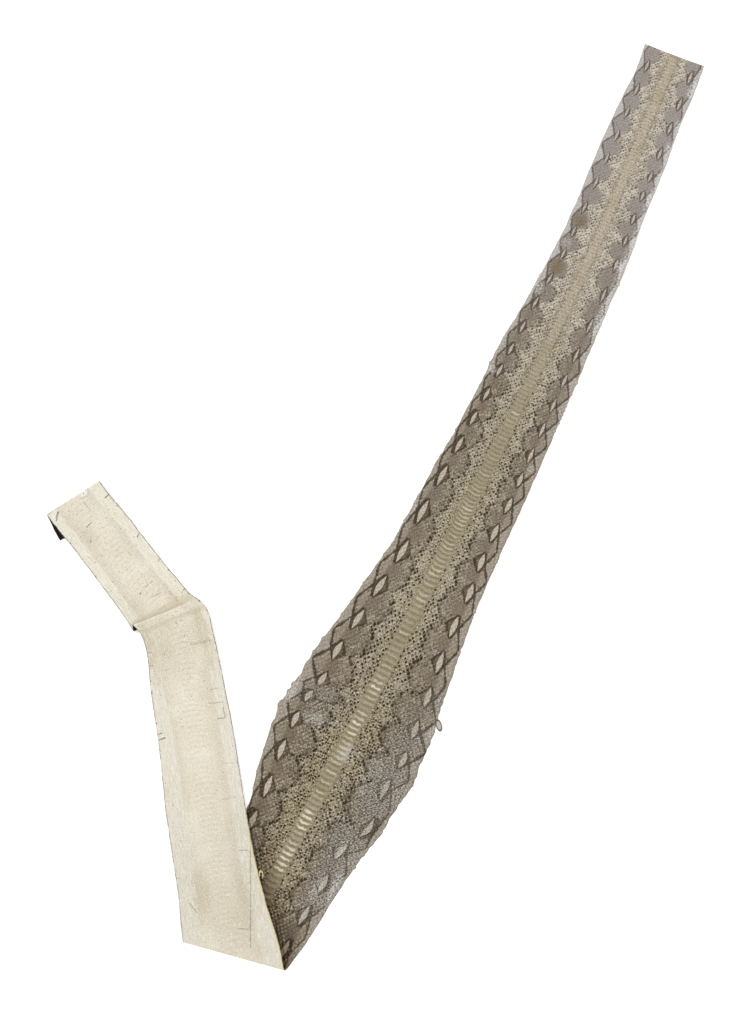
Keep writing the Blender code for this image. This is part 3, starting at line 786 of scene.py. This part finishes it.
def nearLines(f, place, lines):
    # the strongest of several soft lines at each place
    share = None
    for startAlong, startAcross, endAlong, endAcross, half, strength in lines:
        way = ((endAlong - startAlong) * pixel, (endAcross - startAcross) * pixel, 0)
        reach = f.vector("SUBTRACT", place, (startAlong * pixel, startAcross * pixel, 0))
        passed = f.vector("DOT_PRODUCT", reach, way, out="Value") / (way[0] ** 2 + way[1] ** 2)
        passed = passed.between(0, 1)
        foot = f.node("VectorMath", {"operation": "SCALE"}, {0: way, "Scale": passed})
        away = f.vector("DISTANCE", reach, foot, out="Value")
        line = (1 - away.step(half * 0.4 * pixel, half * 1.6 * pixel)) * strength
        share = line if share is None else share.most(line)
    return share


def fleshFinish():
    f = skinFinish("flesh side")
    along, offset = f.along, f.offset
    stained, inFromMargin, inFromEdge = f.parts("wear")
    drift, cloud = f.noise(12.0, 3.0, 0.55), f.noise(40.0, 3.0, 0.6)
    rough, fine = f.noise(240.0, 3.0, 0.6), f.noise(560.0, 2.0, 0.6)
    band = (inFromMargin + (cloud - 0.5) * 0.003).step(-0.0006, 0.0010)
    f.colour = f.mix(band, f.mix(along.step(2.08, 2.20), "margin", "marginFar"), "band")
    f.lay(band * (1 - inFromMargin.step(0.005, 0.017)) * 0.28, "bandEdge")
    f.lay(drift.step(0.52, 0.68) * 0.22, "stainAndShade")
    f.lay(drift.step(0.46, 0.34) * 0.30 * band, "pale")
    f.lay((stained * (0.25 + 1.1 * cloud)).between(0, 0.8), "stainAndShade")
    # painted shade on the flesh side near the fold
    f.darken(along.step(1.93, 1.76), "foldShade")
    # the plates and scales of the other side show through as faint broken arcs and a lattice
    turns = (along + offset * offset * 9) * (2 * math.pi / 0.0084)
    ridge = turns.sine() * (1 - offset.size().step(0.010, 0.022))
    lattice = (turns + offset * 900).sine() * (turns - offset * 900).sine()
    broken = f.noise(170.0).step(0.40, 0.66) * (0.4 + 1.2 * cloud)
    relief = band * (0.5 * ridge + (0.5 + 0.5 * along.step(2.0, 2.1)) * lattice) * broken
    relief = relief + (fine - 0.5) * 4.0 + (rough - 0.5) * 2.4
    f.lay((relief * 0.48).between(0, 0.65), "stainAndShade")
    f.lay((relief * -0.62).between(0, 0.85), "pale")
    # the margins have fine lengthwise fibres
    fibres = f.noise(190.0, 2.0, 0.6, f.node("CombineXYZ", None, {0: along * 0.3, 1: offset * 3}))
    f.lay((1 - band) * fibres.step(0.48, 0.34) * 0.40, "stainAndShade")
    f.lay((1 - band) * fibres.step(0.54, 0.68) * 0.45, "pale")
    swayed = Wire(f, f.noise(150.0).socket.node.outputs["Color"])
    warped = f.vector("MULTIPLY_ADD", swayed, (0.003, 0.003, 0), f.place)
    warped = f.vector("SUBTRACT", warped, (0.0015, 0.0015, 0))
    # painted shade in soft tan bands beside the pleat's crease, in the stain colour
    f.lay(nearLines(f, f.place, flesh["shades"]) * (0.5 + cloud), "stainAndShade")
    f.lay(nearLines(f, warped, flesh["scuffs"]), "chalk")
    f.lay(nearLines(f, warped, flesh["creases"]) * rough.step(0.25, 0.5), "crease")
    fleck = (f.noise(330.0, 0.0) + along.step(2.0, 2.1) * 0.025).step(0.76, 0.82)
    f.lay(fleck * cloud.step(0.35, 0.55) * 0.6, "crease")
    # the flap's edge is ochre near the fold, and all edges have a thin dark outline that comes and goes
    flap = along.step(1.86, 1.78) * offset.step(-0.02, -0.03)
    f.lay(flap * (1 - inFromEdge.step(0.0012, 0.0060)) * (0.3 + 0.6 * rough), "flapEdge")
    outline = (1 - inFromEdge.step(0.0004, 0.0018)) * cloud.step(0.32, 0.50) * rough.step(0.28, 0.50)
    outline = outline.most((1 - inFromEdge.step(0.0012, 0.0034)) * f.noise(110.0, 1.0).step(0.64, 0.70))
    f.lay(outline * 0.85, f.mix(flap, "rim", "rust"))
    f.lay((1 - inFromEdge.step(0.0, 0.0006)) * along.step(1.60, 1.57), "grainRim")
    return f.finished(0.78, relief * 0.3 + cloud * 0.5, 0.0006, 0.6)


# pieces
def placed(name, data):
    made = bpy.data.objects.new(name, data)
    bpy.context.scene.collection.objects.link(made)
    return made


def fill(data, name, values, kind=np.float32):
    data.foreach_set(name, np.ascontiguousarray(values, dtype=kind).ravel())


def makePiece(name, points, faceGroups, attributes, uv):
    # faceGroups: arrays of triangles, quads or longer rings, each with its material; uv: one pair per corner
    mesh = bpy.data.meshes.new(name)
    corners = np.concatenate([faces.ravel() for faces, _ in faceGroups])
    sizes = np.concatenate([np.full(len(faces), faces.shape[1]) for faces, _ in faceGroups])
    materials = list(dict.fromkeys(material for _, material in faceGroups))
    slots = np.concatenate([np.full(len(faces), materials.index(material)) for faces, material in faceGroups])
    mesh.vertices.add(len(points))
    fill(mesh.vertices, "co", points)
    mesh.loops.add(len(corners))
    fill(mesh.loops, "vertex_index", corners, np.int32)
    mesh.polygons.add(len(sizes))
    fill(mesh.polygons, "loop_start", np.cumsum(sizes) - sizes, np.int32)
    for material in materials:
        mesh.materials.append(material)
    fill(mesh.polygons, "material_index", slots, np.int32)
    mesh.update(calc_edges=True)
    for attribute, values in attributes.items():
        fill(mesh.attributes.new(attribute, "FLOAT_VECTOR", "POINT").data, "vector", values)
    fill(mesh.uv_layers.new(name="OFBake").data, "uv", uv)
    mesh.shade_smooth()
    piece = placed(name, mesh)
    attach(piece, "root")
    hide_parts("skin")
    print(name, len(points), "points", int((sizes - 2).sum()), "triangles")
    return piece


def ringWalls(ring, low):
    # the quads between a ring of points and the ring below it
    return np.stack([np.roll(ring, -1), ring, low, np.roll(low, -1)], axis=1)


def gridFaces(rows, columns):
    # the quads of a grid of points, and the ring of points round it
    index = np.arange(rows * columns).reshape(rows, columns)
    quads = np.stack([index[:-1, :-1], index[:-1, 1:], index[1:, 1:], index[1:, :-1]], axis=-1).reshape(-1, 4)
    return quads, np.concatenate([index[0, :-1], index[:-1, -1], index[-1, :0:-1], index[:0:-1, 0]])


def doubleGrid(rows, columns):
    # faces of two grids of points, the second turned over, and of the rim that joins them
    quads, ring = gridFaces(rows, columns)
    return quads, quads[:, ::-1] + rows * columns, ringWalls(ring, ring + rows * columns)


def rimMap(count, low, high):
    # the bake's map of a rim, as a narrow strip from low to high
    share = np.arange(count) / count
    ends = ((share + 1 / count, low), (share, low), (share, high), (share + 1 / count, high))
    return np.stack([np.stack([u, np.full(count, v)], axis=1) for u, v in ends], axis=1).reshape(-1, 2)


leather = {
    "columns": 46, "rowSpacing": 0.0036, "foldSpacing": 0.0010, "pleatSpacing": 0.0006, "tuckSpacing": 0.0008,
    "turnsOver": 0.095, "clearance": 0.002, "grainLift": 0.0002, "fleshLift": -0.0007, "crowded": 0.35,
}


def bendRows(edge, metAt, start, stop, spacing):
    # rows parallel to a bend in the cut skin, each as distance along, point and way
    point, way, ahead = edge
    crossed = [point + offset * ahead for offset in np.arange(start, stop, spacing)]
    return [(crossing(middle, here, way, metAt), here, way) for here in crossed]


def rowsAcross():
    # straight rows over the cut skin: parallel to each bend near it, and square elsewhere
    pleatLine = straightEdge(*mirrorInFold([pleat["left"], pleat["pivot"]]))
    tuckLine = straightEdge(*mirrorInFold(turnBackPleat([tuck["left"], tuck["right"]])))
    foldGap, pleatGap, tuckGap = (leather[bend + "Spacing"] for bend in ("fold", "pleat", "tuck"))
    foldStop, tuckStop = ((math.pi - 1) * bend["radius"] for bend in (fold, tuck))
    bends = [
        bendRows(foldEdge, fold["metAt"], -fold["radius"] - foldGap, foldStop + 1.5 * foldGap, foldGap),
        bendRows(pleatLine, pleat["metAt"], -2 * pleatGap, 4 * math.pi * pleat["radius"], pleatGap),
        bendRows(tuckLine, tuck["metAt"], -tuck["radius"] - 1.5 * tuckGap, tuckStop + 2.5 * tuckGap, tuckGap),
    ]
    rows = sum(bends, [])
    for where in np.linspace(0, cut["length"], round(cut["length"] / leather["rowSpacing"]) + 1):
        angle = angleOf(at(leftWay, where))
        angle += math.radians(cut["startLean"]) * (1 - smoothStep(0, leather["turnsOver"], where))
        distances = []
        for bend in bends:
            distances.append(max(bend[0][0] - where, where - bend[-1][0]))
            lean = angleOf(bend[0][2]) - angle
            angle += lean * (1 - smoothStep(0, leather["turnsOver"], distances[-1]))
        if min(distances) > leather["clearance"]:
            rows.append((where, at(middle, where), np.array([math.cos(angle), math.sin(angle)])))
    return sorted(rows, key=lambda row: row[0])


def leatherSheet():
    # a grid of straight rows from edge to edge, with its columns closer near the edges, laid out twice: as
    # the grain and as the flesh surface
    rows, columns = rowsAcross(), leather["columns"]
    even = np.linspace(0, 1, columns + 1)
    share = even + ((1 - np.cos(math.pi * even)) / 2 - even) * leather["crowded"]
    flat, along = [], []
    for where, point, way in rows:
        leftAt, rightAt = (crossing(edge, point, way, where) for edge in (leftEdge, rightEdge))
        right = at(rightEdge, rightAt)
        flat.append(right + (at(leftEdge, leftAt) - right) * share[:, None])
        along.append(rightAt + (leftAt - rightAt) * share)
    flat, along = np.concatenate(flat), np.concatenate(along)
    across = np.tile(2 * share - 1, len(rows))
    offset = ((flat - at(middle, along)) * at(leftWay, along)).sum(axis=1)
    lifts = (leather["grainLift"], leather["fleshLift"])
    points = np.concatenate([laySkin(flat, along, across, lift) for lift in lifts])
    top, bottom, rim = doubleGrid(len(rows), columns + 1)

    # the bake's map: grain and flesh sides each lie in two strips, and the rim in a narrow one
    gaps = len(rows) - 1
    row, column = np.meshgrid(np.arange(gaps), np.arange(columns), indexing="ij")
    strip = np.minimum(row * 2 // gaps, 1)

    def stripMap(first, order, endGap=0.004, sideGap=0.03, height=0.245):
        pairs = []
        for addRow, addColumn in ((0, 0), (0, 1), (1, 1), (1, 0))[::order]:
            u = endGap + (1 - 2 * endGap) * ((row + addRow) / gaps * 2 - strip)
            v = first + strip + sideGap + (1 - 2 * sideGap) * (column + addColumn) / columns
            pairs.append(np.stack([u, v * height], axis=-1))
        return np.stack(pairs, axis=2).reshape(-1, 2)

    marks = np.tile(surfaceMarks(along, offset), (2, 1))
    wear = np.concatenate([surfaceWear(along, offset), fleshWear(along, offset)])
    place = np.tile(placeOf(along, offset), (2, 1))
    grainSide, fleshSide = grainFinish(), fleshFinish()
    return makePiece("skin_leather", points, [(top, grainSide), (bottom, fleshSide), (rim, fleshSide)],
                     {**markAttributes(marks, marks), "wear": wear, "place": place},
                     np.concatenate([stripMap(0, 1), stripMap(2, -1), rimMap(len(rim), 0.985, 0.995)]))


# small torn scraps at the edges: an open oval ring each, with its middle, half its length and width, how its
# length lies, its height, how far its strip goes round and how much of the oval that fills
loops = {
    "edge_scrap": {"middle": (0.1021, -0.3485, 0.0026), "half": (0.0100, 0.0047), "lies": 105,
                   "height": 0.0020, "turns": (8, 352), "filled": 0.86, "paint": "scrap"},
    "edge_hook": {"middle": (-0.1816, -0.5856, 0.0098), "half": (0.0068, 0.0036), "lies": 98,
                  "height": 0.0014, "turns": (-150, 120), "filled": 0.48, "paint": "hook"},
}


def loopFinish(name, paint):
    f = skinFinish(name)
    speckle = f.noise(700.0, 2.0, 0.6)
    f.colour = f.mix(f.offset.step(0.02, 0.06), paint, paint + "Inside")
    f.darken(speckle.step(0.50, 0.36) * 0.6, "shade")
    return f.finished(0.7, speckle, 0.0002, 0.6)


def loop(name, around=26, up=3):
    # points of an oval, half the length times cosine one way and half the width times sine the other
    shape = loops[name]
    lies = math.radians(shape["lies"])
    long, wide = (np.array([math.cos(lies + turn), math.sin(lies + turn), 0]) for turn in (0, math.pi / 2))
    turns = np.radians(np.linspace(*shape["turns"], around))
    grids = np.meshgrid(turns, np.linspace(-0.5, 0.5, up), indexing="ij")
    turn, share = (grid.reshape(-1, 1) for grid in grids)
    oval = shape["half"][0] * np.cos(turn) * long + shape["half"][1] * np.sin(turn) * wide
    upright = share * (0, 0, shape["height"]) + shape["middle"]
    place = np.column_stack([turn * shape["half"][0], share * 0.01, turn * 0])
    mapped = np.column_stack([(turn - turn[0]) / (turn[-1] - turn[0]) * 0.46 + 0.02, share * 0.9 + 0.48])
    mapped = np.concatenate([mapped, mapped + (0.5, 0)])
    outer, inner, rim = doubleGrid(around, up)
    finish = loopFinish(name.replace("_", " "), shape["paint"])
    return makePiece(name, np.concatenate([oval + upright, oval * (1 - shape["filled"]) + upright]),
                     [(faces, finish) for faces in (outer, inner, rim)],
                     {"place": np.concatenate([place, place + (0, 0.1, 0)])},
                     np.concatenate([*mapped[outer], *mapped[inner], rimMap(len(rim), 0.96, 0.99)]))


def platesPiece(name, finish, along, offset, ahead, leftward, tone, plate, attributesAt):
    # copies one plate onto every centre of the cut skin; its points lie ahead and leftward of the centre
    many, each = ahead.shape
    aheadHere, leftHere = at(aheadWay, along)[:, None], at(leftWay, along)[:, None]
    flat = (at(middle, along)[:, None] + offset[:, None, None] * leftHere
            + ahead[..., None] * aheadHere + leftward[..., None] * leftHere)
    alongs = np.clip((along[:, None] + ahead).ravel(), 0, cut["length"])
    offsets = (offset[:, None] + leftward).ravel()
    across = np.clip(offsets / reachAt(alongs, offsets), -1, 1)
    points = laySkin(flat.reshape(-1, 2), alongs, across, np.tile(plate["height"], many))
    copies = (np.arange(many) * each)[:, None, None]
    groups = [((faces[None] + copies).reshape(-1, faces.shape[1]), finish) for faces in plate["faces"]]
    local = np.column_stack([np.tile(plate["local"], (many, 1)), np.repeat(tone, each)])
    attributes = {**attributesAt(alongs, offsets), "place": placeOf(alongs, offsets), "plate": local}
    return makePiece(name, points, groups, attributes, cellMap(many, plate))


def cellMap(many, plate):
    # every plate has a square cell of the bake's map. Its top fills most of it, with its walls round that,
    # and its underside is small in a corner
    side, index = math.ceil(math.sqrt(many)), np.arange(many)
    corner = np.stack([index % side, index // side], axis=1)[:, None] / side
    centre, top, wall, underCentre, under = plate["cell"]
    spread = np.where(np.arange(len(plate["local"])) < plate["lower"], top, wall)[:, None]
    upper, lower = centre + spread * plate["local"], underCentre + under * plate["local"]
    return np.concatenate([(local[faces].reshape(1, -1, 2) / side + corner).reshape(-1, 2)
                           for faces, local in zip(plate["faces"], (upper, upper, lower))])


scales = {
    "length": 1.12, "width": 1.0, "outline": 1.38, "base": 0.00021, "dome": 0.00012, "tilt": 0.00014,
    "sunk": 0.00012, "corners": 8, "rows": 40, "firstRow": 0.55, "quantised": 0.75, "endGap": 0.003,
    "edgeGap": 0.70, "foldedGap": 1.3, "foldedAt": (1.60, 1.66), "scatter": 0.00055, "sizes": (0.94, 1.06),
    "pleatGap": (0.02, 0.04),
}
# how many belly plates lie before each step
platesPassed = runningTotal(1 / photoCurve(steps, belly["pitch"]), steps[1])


def oneScale():
    # a pointed round plate: a raised middle point, an outline, and the same outline below
    corners = scales["corners"]
    turn = np.arange(corners) * 2 * math.pi / corners
    outline = np.column_stack([np.sign(way) * np.abs(way) ** (2 / scales["outline"])
                               for way in (np.cos(turn), np.sin(turn))])
    local = np.concatenate([[(0, 0)], outline, outline])
    ring = np.arange(1, corners + 1)
    low = ring + corners
    tops = np.stack([ring * 0, ring, np.roll(ring, -1)], axis=1)
    height = scales["base"] + scales["tilt"] * (local[:, 0] + 1) / 2
    height[0] += scales["dome"]
    height[low] = scales["sunk"]
    return {"local": local, "height": height, "faces": [tops, ringWalls(ring, low), low[::-1][None]],
            "lower": low[0], "cell": (0.44, 0.38, 0.43, 0.93, 0.04)}


def sideScales(side, seed, finish):
    # rows of scales follow the belly plates outwards; each row is shifted by half a scale against the last
    count = int(platesPassed[-1]) + 1
    row, number = np.meshgrid(np.arange(scales["rows"]), np.arange(count), indexing="ij")
    row, place = row.ravel(), (number + 0.5 * (row % 2)).ravel()
    along = np.interp(place, platesPassed, steps)
    spacing = photoCurve(along, belly["rowPitch"])
    distance = bellyEdge(side, along) + (row + scales["firstRow"]) * spacing
    lean = math.tan(math.radians(cut["startLean"])) * distance if side == "left" else 0
    gap = scales["edgeGap"] + scales["foldedGap"] * smoothStep(*scales["foldedAt"], along)
    keep = (place > 0) & (place < platesPassed[-1])
    keep &= distance < np.interp(along, steps, reaches[side]) - gap * spacing
    keep &= (along > scales["endGap"] + lean) & (along < cut["length"] - scales["endGap"])
    keep &= np.abs(along - (pleat["metAt"] + scales["pleatGap"][0])) > scales["pleatGap"][1]
    along, distance, spacing = along[keep], distance[keep], spacing[keep]
    many = len(along)
    chance = np.random.default_rng(seed)
    along = along + chance.normal(0, scales["scatter"], many)
    offset = sides[side] * (distance + chance.normal(0, scales["scatter"], many))
    tone = chance.random(many)
    sizes = chance.uniform(*scales["sizes"], (many, 1))
    plate = oneScale()
    if side == "left":
        plate["faces"] = [faces[:, ::-1] for faces in plate["faces"]]
    halfLength = photoCurve(along, belly["pitch"]) / 2 * scales["length"]
    halfWidth = sides[side] * spacing * scales["width"]
    ahead, leftward = (plate["local"].T[way] * sizes * half[:, None]
                       for way, half in enumerate((halfLength, halfWidth)))

    def attributesAt(alongs, offsets):
        marks = patternPlace(side, alongs, offsets)
        middles = np.repeat(patternPlace(side, along, offset), len(plate["local"]), axis=0)
        marksHere = marks * (1 - scales["quantised"]) + middles * scales["quantised"]
        return {**markAttributes(marks, marksHere), "wear": surfaceWear(alongs, offsets)}

    name = "side_scales_" + side
    return platesPiece(name, finish, along, offset, ahead, leftward, tone, plate, attributesAt)


plates = {
    "length": 1.12, "width": 1.22, "base": 0.00016, "dome": 0.00008, "tilt": 0.00022, "sunk": 0.00010,
    "bow": ((0, 0.10), (450, 0.30), (500, 0.42), (560, 0.42), (610, 0.16), (780, 0.16), (850, 0.26),
            (1546, 0.2)),
    "across": 10, "aheadSteps": 4, "rounding": 0.35, "endGap": 0.004, "first": 0.6,
}


def onePlate():
    # a grid, and the ring round it again below
    columns, rows = plates["across"] + 1, plates["aheadSteps"] + 1
    grids = np.meshgrid(np.linspace(-1, 1, columns), np.linspace(-1, 1, rows))
    across, ahead = (grid.ravel() for grid in grids)
    tops, ring = gridFaces(rows, columns)
    low = len(ahead) + np.arange(len(ring))
    local = np.column_stack([ahead, across])
    height = plates["base"] + plates["tilt"] * (ahead + 1) / 2 + plates["dome"] * (1 - ahead ** 2)
    height = np.append(height, np.full(len(ring), plates["sunk"]))
    return {"local": np.concatenate([local, local[ring]]), "height": height, "lower": low[0],
            "faces": [tops, ringWalls(ring, low), low[::-1][None]], "cell": (0.5, 0.42, 0.47, 0.985, 0.008)}


def bellyPlates(seed, finish):
    # one wide plate per step, with rounded ends, bowed so that its middle lies further along than its ends
    numbers = np.arange(plates["first"], platesPassed[-1] - plates["first"], 1.0)
    along = np.interp(numbers, platesPassed, steps)
    along = along[(along > plates["endGap"]) & (along < cut["length"] - plates["endGap"])]
    tone = np.random.default_rng(seed).random(len(along))
    half = photoCurve(along, belly["half"])
    halfLength = photoCurve(along, belly["pitch"]) / 2 * plates["length"]
    bowing = smoothCurve(along / pixel, plates["bow"]) * half
    plate = onePlate()
    ahead, across = plate["local"].T
    ahead = ahead * np.sqrt(1 - plates["rounding"] * np.abs(across) ** 4)
    ahead = ahead * halfLength[:, None] + (0.5 - across ** 2) * bowing[:, None]
    leftward = across * (half * plates["width"])[:, None]

    def attributesAt(alongs, offsets):
        return {"wear": surfaceWear(alongs, offsets, (scuffAndSheenSpots, brightSpots, ()))}

    offset = photoCurve(along, belly["centre"])
    return platesPiece("belly_plates", finish, along, offset, ahead, leftward, tone, plate, attributesAt)


leatherPiece = leatherSheet()
print("leather made")
scaleSide = scaleFinish()
sideScales("left", 31, scaleSide)
sideScales("right", 32, scaleSide)
bellyPlates(33, bellyFinish())
for loopName in loops:
    loop(loopName)
print("scales made")


# floor, light and camera
studio = {
    "floorHeight": -0.0006, "floorSize": 9.0, "glow": 0.30, "sky": 0.88, "sun": 0.85, "sunAngle": 32.0,
    "sunTurn": (-22.0, -34.0, 0.0), "camera": (-0.0024, -0.0072, 3.5), "lens": 76.9,
}


def paleFloor():
    half = studio["floorSize"] / 2
    mesh = bpy.data.meshes.new("floor")
    corners = [(x * half, y * half, studio["floorHeight"]) for x, y in ((-1, -1), (1, -1), (1, 1), (-1, 1))]
    mesh.from_pydata(corners, [], [(0, 1, 2, 3)])
    f = Finish("pale floor")
    f.colour = f.mix(f.noise(40.0, 3.0, 0.5, f.node("TexCoord", out="Object")), "floor", "floorGrain")
    mesh.materials.append(f.finished(0.85))
    f.shader.inputs["Emission Color"].default_value = (1, 1, 1, 1)
    f.shader.inputs["Emission Strength"].default_value = studio["glow"]
    floor = placed("floor", mesh)


def softLight():
    world = bpy.data.worlds.new("studio")
    world.use_nodes = True
    sky = world.node_tree.nodes["Background"].inputs
    sky["Color"].default_value = (1, 1, 1, 1)
    sky["Strength"].default_value = studio["sky"]
    bpy.context.scene.world = world
    lamp = bpy.data.lights.new("window", "SUN")
    lamp.energy = studio["sun"]
    lamp.angle = math.radians(studio["sunAngle"])
    placed("window", lamp).rotation_euler = [math.radians(angle) for angle in studio["sunTurn"]]


def overheadCamera():
    lens = bpy.data.cameras.new("camera")
    lens.lens = studio["lens"]
    camera = placed("camera", lens)
    camera.location = studio["camera"]
    bpy.context.scene.camera = camera


paleFloor()
softLight()
overheadCamera()
bpy.context.scene.view_settings.view_transform = "Standard"

print("scene made")
